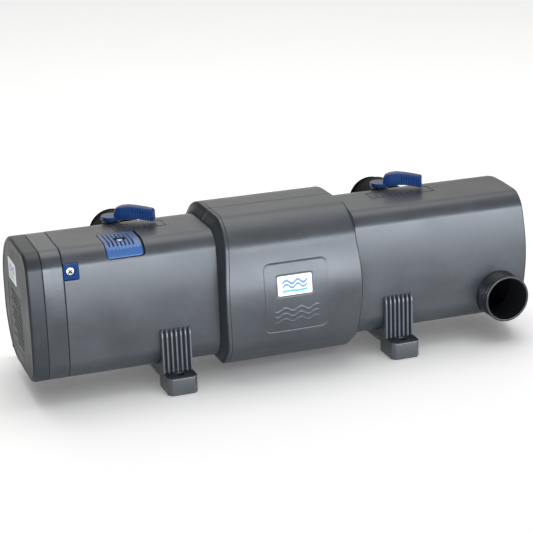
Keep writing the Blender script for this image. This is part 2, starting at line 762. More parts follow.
# raised outline and tick marks beside each lever, on the flat top
SCALE_Y0, SCALE_Y1, SCALE_LINE, TICK_PITCH = -19.5, 5.0, 0.9, 7.2
TICKS = (10.0, 10.0, 6.0, 9.0, 9.0, 6.0, 10.0)                # lengths
SCALES = {"left": (7.0, 0.0), "right": (28.0, 3.0)}           # reach to -X, tick shift


def lever_scale(valve_x, reach, shift):
    x0, x1, y0, y1, line = valve_x - reach, valve_x + 57.0, SCALE_Y0, SCALE_Y1, SCALE_LINE
    bounds = [(x0, x1, y0, y0 + line), (x0, x0 + line, y0, y1), (x1 - line, x1, y0, y1),
              (x0, x0 + 9, y1 - line, y1), (x1 - 12, x1, y1 - line, y1)]
    for i, length in enumerate(TICKS):
        x = x0 + 6.0 + (i if i < 2 else i + 0.6) * TICK_PITCH + shift
        bounds.append((x - line * 0.8, x + line * 0.8, y0 + 2.6, y0 + 2.6 + length))
    bars = [plate(b, 0.25, 3, HALF_H - 0.3, HALF_H + 0.32, Z) for b in bounds]
    return bevelled(boolean(bars[0], join=bars[1:]), 0.18)


for side, (valve_x, _) in VALVES.items():
    piece(lever_scale(valve_x, *SCALES[side]), "lever_scale_" + side, "housing", BLACK)


# ===================================================================== spigots
def spigot(name, replaces, material, centre, root_y, tip_y, base, tip, depth):
    """A spigot with a real screw thread, as one closed skin.

    The (y, radius) points of base lead to the thread's root; those of tip go from
    the thread over the lip and back down the bore.
    """
    count = 128
    turn = angles(count) / (2 * math.pi)
    steps = int(abs(tip_y - root_y) / 0.27)
    thread = []
    for i in range(steps + 1):
        y = root_y + (tip_y - root_y) * i / steps
        phase = (abs(y - root_y) / THREAD_PITCH - turn) % 1.0
        crest = np.clip((1.0 - np.abs(2 * phase - 1.0)) * 1.25 - 0.12, 0.0, 1.0)
        fade = min(1.0, abs(y - root_y) / 1.6, abs(tip_y - y) / 1.6)
        thread.append((y, THREAD_R - depth * (1.0 - crest) * fade - 0.6 * (1 - fade)))
    me = hoop(base + thread + tip, centre, Y, count)
    mark_where(me, 1, lambda x, y, z: np.hypot(x - centre[0], z - centre[1]) < BORE_R + 0.25)
    piece(me, name, "housing", [material, INNER, INNER], replaces, sharp=38.0)


spigot("inlet_port", "inlet_spigot", PORT, INLET, -83.4, -100.6,
       base=[(-58.0, 29.4), (-58.6, THREAD_R), (-70.0, THREAD_R), (-79.0, THREAD_R),
             (-82.8, THREAD_R), (-83.1, 29.4)],
       tip=[(-101.0, 28.2), (-101.5, 27.9), (-102.1, 28.0), (-102.5, 28.9), (-102.8, 29.7),
            (-103.1, 29.8), (-104.9, 29.8), (-105.5, 29.6), (-105.85, 29.2),
            (INLET_END_Y, 28.6), (INLET_END_Y, 27.6), (-105.85, 27.1), (-105.4, 26.8),
            (-104.5, BORE_R), (-85.0, BORE_R), (-60.0, BORE_R), (-58.0, BORE_R + 0.3)],
       depth=1.0)
for side, (_, outlet_x) in VALVES.items():
    spigot("outlet_port_" + side, "outlet_spigot_" + side, COLLAR, (outlet_x, OUTLET_Z),
           86.6, 103.0,
           base=[(31.8, 29.4), (32.2, THREAD_R), (60.0, THREAD_R), (82.0, THREAD_R),
                 (82.2, 30.0), (82.2, 32.6), (82.5, 33.1), (83.0, FLANGE_R),
                 (85.2, FLANGE_R), (85.7, 33.1), (86.0, 32.6), (86.0, 30.0), (86.3, 29.2)],
           tip=[(103.4, 28.9), (103.8, 28.6), (104.0, 28.2), (104.0, 27.4), (103.8, 26.95),
                (103.2, BORE_R), (80.0, BORE_R), (50.0, BORE_R), (32.2, BORE_R),
                (31.8, BORE_R + 0.3)],
           depth=1.35)

# ================================================================ middle cover
# (x, offset) from each rim's x and the cover's stand-off
LEFT_RIM = ((-1.4, -2.4), (-1.15, -1.6), (-0.75, -0.9), (-0.1, -0.35), (0.7, -0.05),
            (1.5, 0.0), (2.6, 0.0), (2.9, -0.12), (3.1, -0.75), (3.6, -0.75), (3.8, -0.12),
            (4.1, 0.0), (5.0, 0.0))
RIGHT_RIM = ((-1.0, 0.0), (-0.2, -0.2), (0.5, -0.7), (0.95, -1.5), (1.25, -2.5))


def cover_shape(station):
    """The barrel-shaped cover's stand-off and its two rims' x at one station."""
    _, z, ny, nz = station
    front = max(0.0, -ny)
    swell = front * math.cos(math.pi / 2 * min(1.0, abs(z + 2.0) / 104.0)) ** 2
    flattening = (2.0 * front * nz) ** 2 * (2.0 if nz > 0 else 3.6)
    return (COVER_OUT + COVER_SWELL * swell - flattening,
            COVER_RIM0 - RIM_SWELL * swell, COVER_RIM1 + RIM_SWELL * swell)


def cover_y(z, off):
    """The y of the straight part of the cover's front, at a height."""
    station = (FRONT_Y, z, -1.0, 0.0)
    return lift(station, cover_shape(station)[0] + off)[0]


def rect_distance(x, z, bounds, radius):
    """Signed distance to a rounded rectangle; negative inside."""
    x0, x1, z0, z1 = bounds
    dx = abs(x - (x0 + x1) / 2) - ((x1 - x0) / 2 - radius)
    dz = abs(z - (z0 + z1) / 2) - ((z1 - z0) / 2 - radius)
    return math.hypot(max(dx, 0), max(dz, 0)) + min(max(dx, dz), 0) - radius


def panel_relief(x, station, off):
    """A rounded panel let into the cover's front, with a label seat and wave ribs."""
    if station[2] > -0.999 or off < cover_shape(station)[0] - 0.01:
        return 0.0
    z = station[1]
    to_panel = rect_distance(x, z, PANEL, PANEL_R)
    relief = -0.45 * smoothstep(0.5, -0.5, to_panel) - 0.45 * math.exp(-(to_panel / 0.6) ** 2)
    to_label = rect_distance(x, z, LABEL, 2.0)
    if to_label < 4.0:
        relief -= (0.7 * math.exp(-((to_label - 0.8) / 0.7) ** 2)
                   + 0.35 * smoothstep(0.5, -0.3, to_label))
    rib_x0, rib_x1 = PANEL[0] + 9, PANEL[1] - 9
    if rib_x0 < x < rib_x1 and to_panel < -5:
        fade = smoothstep(0, 5, x - rib_x0) * smoothstep(0, 5, rib_x1 - x)
        for rib_z in (-19.0, -26.0, -33.0):
            wave = rib_z + 2.2 * math.sin((x - PANEL[0]) * 2 * math.pi / 20.0)
            relief += 0.55 * fade * math.exp(-((z - wave) / 1.0) ** 2)
    return relief


def front_cover_path():
    """The front half of the section, with close stations over the panel."""
    ends = [s for s in FRONT_HALF if not (s[2] < -0.999 and s[3] == 0.0)]
    below = next(i for i, s in enumerate(ends) if s[1] < 0)
    heights = [*np.arange(54.0, 41.5, -3.0), *np.arange(41.0, -47.6, -0.75), -50.0]
    return ends[:below] + [(FRONT_Y, z, -1.0, 0.0) for z in heights] + ends[below:]


def cover_profile(middle):
    """The closed profile of the cover's wall, for any station, with fixed middle x."""
    def at(station):
        out, x0, x1 = cover_shape(station)
        foot0, foot1 = x0 - 1.4, x1 + 1.25
        points = [(COVER_X0 + (foot0 - COVER_X0) * t, COVER_GAP + (out - 2.7) * t)
                  for t in (0.0, 0.35, 0.7)]
        points += [(x0 + dx, out + d) for dx, d in LEFT_RIM]
        points += [(x0 + 5.0 + (middle[0] - x0 - 5.0) * i / 6, out) for i in range(1, 6)]
        points += [(x, out) for x in middle]
        points += [(middle[-1] + (x1 - 2.4 - middle[-1]) * i / 6, out) for i in range(1, 7)]
        points += [(x1 + dx, out + d) for dx, d in RIGHT_RIM]
        points += [(COVER_X1 + (foot1 - COVER_X1) * t, COVER_GAP + (out - 2.8) * t)
                   for t in (0.7, 0.35, 0.0)]
        return points + [(COVER_X1 - 3.4, COVER_GAP), (x1 - 2.4, out - COVER_SKIN),
                         (x0 + 2.4, out - COVER_SKIN), (COVER_X0 + 3.4, COVER_GAP)]
    return at


def cover(name, replaces, path, seam_shift, middle, relief=None):
    """Half of the cover, stopping short of the seams, with its right edge marked dark."""
    path = list(path)
    for end in (0, -1):
        path[end] = (path[end][0] + seam_shift, *path[end][1:])
    profile = cover_profile(middle)
    me = loft(sweep(profile, path, relief))
    points, rim = profile(path[0]), cover_shape(path[0])[2]
    dark = [i for i, (x, off) in enumerate(points) if rim - 0.25 < x < rim + 1.2 and off > 5.0]
    faces = np.arange(len(me.polygons) // len(points) * len(points))
    mark(me, 1, faces[np.isin(faces % len(points), dark)])
    piece(bevelled(me, 0.35, 2, 60.0), name, "housing", [COVER, EDGE, EDGE],
          replaces, sharp=35)


cover("front_cover", "cover_front", front_cover_path(), -0.2, np.arange(-27.5, 56.5, 0.7),
      panel_relief)
cover("back_cover", "cover_back", BACK_HALF, 0.2, np.arange(-24.0, 56.0, 8.0))


def cover_label():
    """Film that follows the cover's front, between two offsets."""
    x0, x1, z0, z1 = LABEL
    cx, cz = (x0 + x1) / 2, (z0 + z1) / 2
    rings = [[((x - cx) * t + cx, (z - cz) * t + cz)
              for x, z in rounded_rect(*LABEL, 2.2, 6)] for t in np.linspace(1.0, 0.0, 14)[:-1]]

    def on_cover(ring, off):
        return [(x, cover_y(z, off), z) for x, z in ring]

    offsets = (-0.85, -0.30)
    build = Build()
    for off in offsets:
        ids = build.grid([on_cover(ring, off) for ring in rings], close_columns=True)
        build.fan(ids[-1], on_cover([(cx, cz)], off)[0])
    build.grid([on_cover(rings[0], off) for off in offsets], close_columns=True)
    return build.mesh()


low, high = (to_world([LABEL[i], 0, LABEL[i + 2]]).tolist() for i in (0, 1))
piece(cover_label(), "label_film", "housing", label_film("cover_label_film", X, low, high),
      "cover_label")

# ======================================================================== feet
FOOT_HALF, FIN_HALF, FIN_COUNT = 18.3, 1.3, 7
FOOT_Y0, FOOT_Y1 = -108.0, 100.0
# (y, z) under the saddle, from the back top corner round by the floor to the front
FOOT_OUTLINE = [(82.2, -31.2), (82.8, -35.0), (82.8, -82.0), (98.6, -82.0),
                (FOOT_Y1, -83.4), (FOOT_Y1, FLOOR_Z), (70.0, FLOOR_Z), (69.0, -92.5),
                (-68.5, -92.5), (-69.5, FLOOR_Z), (FOOT_Y0, FLOOR_Z), (FOOT_Y0, -83.4),
                (-106.6, -82.0), (-82.4, -82.0), (-82.4, -35.0), (-81.8, -31.2)]
# the fin outline: y on the front and back of the foot, z, corner radius
FIN_OUTLINE = ((-81.6, 82.2, -84.5, 0), (-87.6, 88.6, -84.5, 0), (-86.9, 87.6, -37.0, 2),
               (-86.2, 86.9, -32.6, 3), (-84.6, 85.2, -29.6, 2), (-82.6, 83.2, -28.7, 1.0),
               (-81.5, 82.1, -30.0, 0))
# (x from the fin's middle, how far its edge shrinks)
FIN_LAYERS = ((-1.3, 1.15), (-1.22, 0.7), (-0.9, 0.28), (-0.45, 0.04), (0.0, 0.0),
              (0.45, 0.04), (0.9, 0.28), (1.22, 0.7), (1.3, 1.15))


def fin(x, column, out_y):
    """A soft-edged rib on the front or back of a foot."""
    outline = fillet([(p[column], p[2], p[3]) for p in FIN_OUTLINE])
    return loft([[(x + dx, y - out_y * shrink * (1 if abs(y) > 82.4 else 0),
                   z - (shrink * 0.8 if z > -34 else 0)) for y, z in outline]
                 for dx, shrink in FIN_LAYERS])


def foot(cx):
    x0, x1 = cx - FOOT_HALF, cx + FOOT_HALF
    saddle = [p for p in (lift(s, 0.3) for s in SECTION) if p[1] < -31.0]
    cuts = []
    for y, out_y in ((FOOT_Y0, -1.0), (FOOT_Y1, 1.0)):
        for x, out_x in ((x0, -1.0), (x1, 1.0)):
            inner_x, inner_y = x - out_x * 4.6, y - out_y * 4.6
            far_x, far_y = x + out_x * 1.5, y + out_y * 1.5
            cuts.append(prism([(inner_x, far_y), (inner_x, y), (x, inner_y),
                               (far_x, inner_y), (far_x, far_y)], FLOOR_Z - 2.0, -80.0, Z))
    for y0, y1 in ((-67.0, -61.0), (61.0, 67.0)):
        cuts.append(prism([(cx - 30, y0), (cx + 30, y0), (cx + 30, y1), (cx - 30, y1)],
                          -95.0, -86.5, Z))
    me = bevelled(boolean(prism(saddle + FOOT_OUTLINE, x0, x1, X), cut=cuts), 0.7, 3, 28.0)
    hole = fillet([(-110.0, 0), (-110.0, 3.0), (-88.0, 3.0), (-88.0, 5.6), (-82.6, 5.6, 0.4),
                   (-81.0, 6.6), (-78.0, 6.6), (-78.0, 0)], 3)
    me = boolean(me, cut=[mark(turned(hole, (cx, y), Z, 48), 1) for y in (-94.2, 93.0)])
    # the walls behind the fins are dark
    mark_where(me, 1, lambda x, y, z: (np.abs(x - cx) < FOOT_HALF - 0.5) & (z > -81.0)
               & (z < -31.0) & ((y < -81.0) | (y > 82.4)))
    pitch = (2 * FOOT_HALF - 2 * FIN_HALF) / (FIN_COUNT - 1)
    fins = [fin(x0 + FIN_HALF + i * pitch, column, out_y)
            for i in range(FIN_COUNT) for column, out_y in ((0, -1), (1, 1))]
    return boolean(me, join=[mark(join_meshes(fins), 2)])


for side, cx in FEET.items():
    piece(foot(cx), "saddle_foot_" + side, "housing", [FOOT, INNER, RIB],
          "foot_" + side, sharp=34)

# =================================================================== head unit
# (x, offset) profiles
CAP_PROFILE = [(-299.0, -WALL), (-284.9, -WALL), (-284.15, -WALL + 0.6), (-284.15, -1.1),
               (-284.3, -0.5), (-284.7, -0.15), (-285.4, 0.0), (-290.0, 0.0), (-295.0, 0.0),
               (-298.6, 0.0), (-299.8, -0.15), (-301.0, -0.6), (-302.0, -1.4),
               (-302.7, -2.4), (-303.05, -3.6), (-303.1, -4.6), (-303.1, -6.0),
               (-302.95, -6.6), (-302.7, -7.0), (-302.6, -7.6), (-302.6, -9.0)]
RING_PROFILE = [(-283.85, -4.0), (-283.85, -1.1), (-283.7, -0.5), (-283.3, -0.15),
                (-282.6, 0.0), (-278.0, 0.0), (-272.0, 0.0), (-266.0, 0.0), (-261.4, 0.0),
                (-260.7, -0.15), (-260.3, -0.5), (-260.15, -1.1), (-260.15, -4.0)]
PLUG_PROFILE = [(-234.0, -10.6), (-281.0, -10.6), (-281.0, -4.5), (-248.6, -4.5),
                (-248.4, -4.7), (-248.4, -8.0), (-244.4, -8.0), (-244.4, -4.7),
                (-244.2, -4.5), (-232.5, -4.5), (-231.0, -4.9), (-230.2, -5.8),
                (-230.0, -6.8)]
# widths of the blank raised dashes, row by row from the top
DASH_ROWS = ((9, 7, 13, 5, 11), (15, 6, 10, 9), (6, 12, 8, 14, 5), (11, 9, 5),
             (8, 14, 7, 10, 6), (13, 6, 9, 12), (7, 10, 15, 6, 9), (12, 8, 5, 11),
             (5, 13, 9, 7, 10), (10, 6, 14), (8, 11, 6, 9, 12), (14, 7, 10))
DASH_FACE_X = -302.85


def end_cap():
    label_seat = plate((-9.4, 35.4, 23.6, 51.4), 2.4, 6, -306.0, -302.1, X)
    gland_bore = cylinder(GLAND, 5.4, 66.0, 95.0, Y, 32)
    field = plate((-28.0, 48.0, -60.0, 16.0), 5.0, 6, -306.0, -302.35, X)
    return boolean(round_section(CAP_PROFILE), cut=[label_seat, gland_bore, field])


def cap_dashes():
    dashes = []
    for i, row in enumerate(DASH_ROWS):
        z, y = 10.0 - i * 5.6, -23.0
        for width in row:
            dashes.append(bevelled(plate((y, y + width, z - 0.95, z + 0.95), 0.7, 3,
                                         DASH_FACE_X, -302.0, X), 0.2, 2, 50))
            y += width + 2.6
    return join_meshes(dashes)


piece(end_cap(), "end_cap", "head", HEAD, "head_cap", sharp=30.0,
      swept=True)
piece(cap_dashes(), "cap_dashes", "head", BLACK)

lo, hi = design_box("end_label")
me = bevelled(plate((lo[1], hi[1], lo[2], hi[2]), 2.0, 6, DASH_FACE_X, -302.15, X),
              0.15, 2, 50)
piece(me, "end_label_film", "head", label_film("end_label_film", Y, *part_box("end_label")),
      "end_label")

piece(round_section(RING_PROFILE, closed=True), "ring_band", "head", RING,
      "head_ring", sharp=30.0, swept=True)


def head_plug():
    """The plug in the housing's mouth, with shallow ribs on its inner face."""
    me = boolean(round_section(PLUG_PROFILE),
                 cut=[cylinder(LAMP_AXIS, 27.4, -240.0, -225.0, X, 64)])
    r0, r1, half = 37.0, 56.0, 1.3
    ribs = []
    for i in range(8):
        a = math.pi / 4 * i + 0.2
        c, s = math.cos(a), math.sin(a)
        outline = [(r * c - w * s, LAMP_Z + r * s + w * c)
                   for r, w in ((r0, half), (r1, half), (r1, -half), (r0, -half))]
        if min(z for _, z in outline) > -70:     # a rib must stay on the face
            ribs.append(bevelled(prism(outline, -231.0, -228.4, X), 0.4))
    return boolean(me, join=ribs)


piece(head_plug(), "head_plug", "head", BLACK, "head_insert", sharp=30)
piece(round_section(circle((-246.4, -6.1), 1.6, 14), closed=True), "plug_seal", "head",
      RUBBER, "head_seal")


def gland_nut():
    profile = [(70.0, 4.3), (70.0, 5.0), (81.4, 5.0), (81.6, 5.3), (81.6, 8.6), (82.0, 9.0),
               (89.4, 9.0), (90.2, 8.7), (91.2, 7.4), (92.6, 6.2), (93.0, 5.6), (93.0, 4.3)]
    grooves = 0.45 * (np.cos(angles(72) * 12) > 0.55)
    return hoop([(y, r - grooves if 82.0 <= y <= 89.5 and r > 8 else r) for y, r in profile],
                GLAND, Y, 72)


def mains_cable():
    """Out of the gland to the back, round a bend and down."""
    x, z = GLAND
    straight_end, bend = 93.8, 5.4
    points = [(x, 66.0, z), (x, 80.0, z), (x, straight_end, z)]
    for i in range(1, 15):
        a = math.pi / 2 * i / 14
        points.append((x, straight_end + bend * math.sin(a), z - bend * (1 - math.cos(a))))
    for i in range(1, 13):
        t = i / 12
        points.append((x + 1.0 * t * t, straight_end + bend - 0.4 * t, z - bend - 64.6 * t))
    return tube(points, 4.0, 24)


piece(gland_nut(), "gland_nut", "head", BLACK, "cable_gland")
piece(mains_cable(), "mains_cable", "head", RUBBER, "power_cable", sharp=60)

# ------------------------------------------------- sleeve, lamp and electronics
SLEEVE_OUT, SLEEVE_IN, SLEEVE_X0, SLEEVE_BEND_X = 24.5, 22.7, -240.0, 191.0
PIN_YS = (-13.5, -4.5, 4.5, 13.5)
LAMP_R, LAMP_TUBE_R, LAMP_X0, LAMP_BEND_X = 10.6, 8.5, -214.0, 170.0


def sleeve_glass():
    """A tube closed by a rounded right end, with its left rim."""
    quarter = [math.pi / 2 * i / 12 for i in range(1, 12)]
    rim = (SLEEVE_X0, SLEEVE_OUT - 0.4)
    outside = [rim, (SLEEVE_X0 + 0.4, SLEEVE_OUT)]
    outside += [(x, SLEEVE_OUT) for x in np.linspace(-230, 190, 30)]
    outside += [(SLEEVE_BEND_X + 14.0 * math.sin(a), SLEEVE_OUT * math.cos(a))
                for a in quarter]
    outside += [(205.0, 0.0)]
    inside = [(205.0 - 1.8, 0.0)]
    inside += [(SLEEVE_BEND_X + 12.2 * math.sin(a), SLEEVE_IN * math.cos(a))
               for a in quarter[::-1]]
    inside += [(x, SLEEVE_IN) for x in np.linspace(190, -230, 30)] + [(SLEEVE_X0, SLEEVE_IN)]
    build = Build()
    for profile in (outside, inside, [(SLEEVE_X0, SLEEVE_IN), rim]):
        build.turn(profile, LAMP_AXIS, X, 96)
    return build.mesh()


def clamp_nut():
    # x, radius, whether it has grip grooves
    profile = ((-229.6, 24.9, 0), (-229.6, 32.6, 0), (-229.2, 33.0, 1), (-224.0, 33.0, 1),
               (-219.4, 33.0, 1), (-218.4, 32.4, 0), (-217.3, 31.2, 0), (-217.0, 30.6, 0),
               (-217.0, 25.4, 0), (-217.3, 24.9, 0))
    grooves = 1.1 * (0.5 + 0.5 * np.cos(angles(96) * 16)) ** 3
    return hoop([(x, r - grooves if grip else r) for x, r, grip in profile], LAMP_AXIS, X, 96)


def twin_lamp():
    """One leg out, a half turn at the right and the other leg back."""
    legs = (LAMP_X0, -100.0, 20.0)
    points = [(x, -LAMP_R, LAMP_Z) for x in legs + (LAMP_BEND_X,)]
    for i in range(1, 17):
        a = math.pi * i / 16
        points.append((LAMP_BEND_X + LAMP_R * math.sin(a), -LAMP_R * math.cos(a), LAMP_Z))
    points += [(x, LAMP_R, LAMP_Z) for x in legs[::-1]]
    return tube(points, LAMP_TUBE_R, 28)


def lamp_foot():
    me = bevelled(plate((-19.5, 19.5, LAMP_Z - 9.5, LAMP_Z + 9.5), 4.0, 5, -236.0, -214.4, X),
                  0.8, 3)
    pin = fillet([(-241.5, 0), (-241.5, 1.15, 0.4), (-230.0, 1.15), (-230.0, 0)], 3)
    return boolean(me, join=[turned(pin, (y, LAMP_Z), X, 20) for y in PIN_YS])


def lamp_socket():
    me = turned(fillet([(-258.0, 0), (-258.0, 21.0, 1.5), (-236.4, 21.0, 0.8),
                        (-236.4, 0)]), LAMP_AXIS, X, 64)
    return boolean(me, cut=[cylinder((y, LAMP_Z), 1.6, -243.0, -230.0, X, 20)
                            for y in PIN_YS])


def potted_ballast():
    lo, hi = design_box("ballast")
    me = bevelled(plate((lo[1], hi[1], lo[2], hi[2]), 3.0, 5, lo[0], hi[0], X), 1.0, 3)
    return boolean(me, cut=[plate((y, y + 2.0, hi[2] - 1.2, hi[2] + 3), 0.5, 2, lo[0] + 4,
                                  hi[0] - 4, X) for y in np.arange(lo[1] + 8, hi[1] - 8, 6.0)])


def interlock_switch():
    lo, hi = design_box("safety_switch")
    me = bevelled(plate((lo[1], hi[1], lo[2], hi[2]), 1.2, 4, lo[0], hi[0] - 2.5, X), 0.5)
    knob = turned(fillet([(hi[0] - 4, 0), (hi[0] - 4, 3.0), (hi[0], 3.0, 1.2), (hi[0], 0)]),
                  ((lo[1] + hi[1]) / 2, (lo[2] + hi[2]) / 2), X, 28)
    return boolean(me, join=[knob])


piece(sleeve_glass(), "sleeve_glass", "head", QUARTZ, "quartz_sleeve",
      sharp=50)
piece(clamp_nut(), "clamp_nut", "head", BLACK, "sleeve_nut")
piece(hoop(circle((-232.0, 25.9), 1.05, 12), LAMP_AXIS, X, 64), "sleeve_ring", "head",
      RUBBER, "sleeve_seal")
piece(twin_lamp(), "twin_lamp", "head", LAMP_GLASS, "uv_lamp", sharp=60)
piece(lamp_foot(), "lamp_foot", "head", WHITE, "lamp_base")
piece(lamp_socket(), "lamp_socket", "head", WHITE, "lamp_holder")
piece(potted_ballast(), "potted_ballast", "head", INNER, "ballast")
piece(interlock_switch(), "interlock_switch", "head", RED,
      "safety_switch")
for lead in ("lamp_lead_a", "lamp_lead_b"):
    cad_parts[lead].data.materials.clear()
    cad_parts[lead].data.materials.append(RUBBER)

# cleaning rotor: two bearing rings and two twisted wiper vanes
# (radius, angle from the vane's middle)
VANE_SECTION = ((26.2, -0.050), (30.0, -0.046), (35.4, -0.036), (36.0, -0.022),
                (36.0, 0.022), (35.4, 0.036), (30.0, 0.046), (26.2, 0.050))


def bearing_ring(x0, x1):
    return hoop(fillet([(x0, 27.0), (x0, 25.0, 0.5), (x1, 25.0, 0.5), (x1, 29.0, 0.8),
                        (x0, 29.0, 0.8), (x0, 27.0)], 3)[:-1], LAMP_AXIS, X, 72)


def vane(number):
    rows, steps, turns = [], 150, 1.5
    for i in range(steps + 1):
        t = i / steps
        a = 2 * math.pi * turns * t + math.pi * number
        rows.append([(-204.0 + 370.0 * t, r * math.cos(a + da), LAMP_Z + r * math.sin(a + da))
                     for r, da in VANE_SECTION])
    return loft(rows)


me = boolean(vane(0), join=[vane(1), bearing_ring(-206.0, -198.0), bearing_ring(160.0, 168.0)])
piece(me, "wiper_rotor", "rotor", ROTOR, "cleaning_rotor")

# ================================================================== valve sets
# the lever's grip along its length: x, bottom z, top z, half width
GRIP = np.array([(5.2, 84.6, 94.2, 5.2), (6.0, 84.2, 95.5, 6.2), (7.2, 84.2, 97.6, 7.0),
                 (10.0, 84.2, 99.0, 7.4), (14.0, 84.6, 100.3, 7.8), (22.0, 85.3, 101.3, 7.5),
                 (32.0, 85.3, 100.6, 7.0), (42.0, 84.3, 99.2, 6.8), (48.0, 83.3, 98.2, 6.6),
                 (52.6, 82.6, 97.4, 6.3), (54.0, 83.3, 96.2, 5.3)]).T
GRIP_STEPS, GRIP_EDGE = 170, 2.6
FLUTE_X0, FLUTE_X1, FLUTE_PITCH, FLUTE_DEPTH = 26.8, 51.6, 3.1, 0.72
FLAP_R = 26.0


def grip_outline(x):
    bottom, top, w = (float(np.interp(x, GRIP[0], column)) for column in GRIP[1:])
    flute = 0.0
    if FLUTE_X0 < x < FLUTE_X1:
        flute = FLUTE_DEPTH * (0.5 - 0.5 * math.cos(2 * math.pi * (x - FLUTE_X0)
                                                    / FLUTE_PITCH)) ** 1.5
    # the flutes fade at the top and bottom of each side wall
    wall = [(w - flute * (0.35 if j in (0, 5) else 1.0), z)
            for j, z in enumerate(np.linspace(bottom + 2.0, top - GRIP_EDGE - 1.2, 6))]
    half = [(w - 0.9, bottom), (w - 0.2, bottom + 0.3), (w, bottom + 1.0), *wall,
            (w, top - GRIP_EDGE), (w - 0.5, top - GRIP_EDGE + 1.0), (w - 2.6, top - 0.55),
            (w - 3.6, top - 0.1)]
    mirrored = [(-y, z) for y, z in half]
    return [mirrored[0], *half, (0.0, top + 0.15), *mirrored[:0:-1]]


def lever():
    """Hub and grip, pointing along +X from the spindle at the design origin."""
    hub = turned(fillet([(82.6, 0), (82.6, 12.2, 0.7), (87.6, 12.2, 0.9), (87.6, 0)], 5),
                 (0.0, 0.0), Z, 96)
    x0, x1 = GRIP[0][0], GRIP[0][-1]
    xs = [x0 + (x1 - x0) * i / GRIP_STEPS for i in range(GRIP_STEPS + 1)]
    grip = loft([[(x, y, z) for y, z in grip_outline(x)] for x in xs])
    return boolean(hub, join=[grip], cut=[prism(circle((0.0, 0.0), 4.45, 32), 70.0, 86.4, Z)])


def flap(outlet_dx):
    """A round gate with a flat side, on a tube about the spindle."""
    half = math.acos((-2.0 - outlet_dx) / FLAP_R)
    gate = [(outlet_dx + FLAP_R * math.cos(-half + 2 * half * i / 72),
             OUTLET_Z + FLAP_R * math.sin(-half + 2 * half * i / 72)) for i in range(73)]
    return boolean(bevelled(prism(gate, 3.4, 6.4, Y), 0.5),
                   join=[prism(circle((0.0, 0.0), 6.5, 40), 22.0, 66.0, Z)],
                   cut=[prism(circle((0.0, 0.0), 4.4, 40), 10.0, 80.0, Z)])


def on_spindle(me, valve_x):
    """Move a mesh built about the design origin to its spindle, turned to rest."""
    c, s = math.cos(LEVER_REST), math.sin(LEVER_REST)
    x, y, z = to_design(fetch(me.vertices, "co", 3).astype(float)).T
    moved = np.stack([valve_x + c * x - s * y, SPINDLE_Y + s * x + c * y, z], 1)
    me.vertices.foreach_set("co", to_world(moved).astype(np.float32).ravel())
    me.update()
    return me


for side, (valve_x, outlet_x) in VALVES.items():
    body, spindle = "valve_" + side, (valve_x, SPINDLE_Y)
    piece(on_spindle(lever(), valve_x), "lever_grip_" + side, body, BLUE,
          "bypass_lever_" + side, sharp=40)
    profile = fillet([(17.0, 0), (17.0, 4.0, 0.6), (71.0, 4.0), (71.0, 5.0, 0.2),
                      (80.0, 5.0, 0.2), (80.0, 4.0), (86.0, 4.0, 0.5), (86.0, 0)], 3)
    piece(turned(profile, spindle, Z, 48), "spindle_" + side, body, BLACK,
          "valve_spindle_" + side)
    piece(on_spindle(flap(outlet_x - valve_x), valve_x), "flap_" + side, body, BLACK,
          "bypass_flap_" + side)
    piece(hoop(circle((6.1, 77.3), 0.9, 12)[:, ::-1], spindle, Z, 48),
          "spindle_ring_" + side, "housing", RUBBER, "spindle_seal_" + side)

# =============================================================== release latch
LATCH_PATH = strip_path(-26.0, 64.8, 60, 90)
LATCH_DOWN = [0.0]                           # distance down the latch at each station
for a, b in zip(LATCH_PATH, LATCH_PATH[1:]):
    LATCH_DOWN.append(LATCH_DOWN[-1] + math.hypot(b[0] - a[0], b[1] - a[1]))
DOWN_AT = dict(zip(LATCH_PATH, LATCH_DOWN))
LATCH_LENGTH = LATCH_DOWN[-1]
POINTS_DOWN = LATCH_LENGTH - 11.0
GROOVE_XS = [-201.2 + 4.75 * i for i in range(7)]
POINT_XS = [-201.6 + 4.2 * i for i in range(9)]


def latch_relief(x, station, off):
    """Lengthwise grooves, a row of small raised points and softened edges."""
    if off < 0.2:
        return 0.0
    down = DOWN_AT[station]
    relief = 0.0
    fade = (smoothstep(2.2, 4.0, down)
            * smoothstep(LATCH_LENGTH - 13.5, LATCH_LENGTH - 16.0, down))
    for groove_x in GROOVE_XS:
        relief -= 1.15 * fade * math.exp(-((x - groove_x) / 0.66) ** 2)
    for point_x in POINT_XS:
        q = ((x - point_x) / 0.8) ** 2 + ((down - POINTS_DOWN) / 0.8) ** 2
        if q < 9:
            relief += 0.3 * math.exp(-q)
    edge = min(down, LATCH_LENGTH - down, x - LATCH_X0, LATCH_X1 - x)
    if edge < 0.9:
        relief -= 0.45 * (1 - edge / 0.9) ** 2
    return relief


def down_latch(y, z):
    """Distance down the latch, and whether a place is near its outside."""
    middle = np.array([lift(s, 0.0) for s in LATCH_PATH])
    gap = np.hypot(y[:, None] - middle[None, :, 0], z[:, None] - middle[None, :, 1])
    return np.array(LATCH_DOWN)[gap.argmin(1)], gap.min(1) < 1.6


def in_groove(x, y, z):
    down, outside = down_latch(y, z)
    hit = np.any([np.abs(x - groove_x) < 0.52 for groove_x in GROOVE_XS], axis=0)
    return hit & outside & (down > 3.4) & (down < LATCH_LENGTH - 15.2)


def on_point(x, y, z):
    down, outside = down_latch(y, z)
    return outside & np.any([np.hypot(x - point_x, down - POINTS_DOWN) < 0.62
                             for point_x in POINT_XS], axis=0)


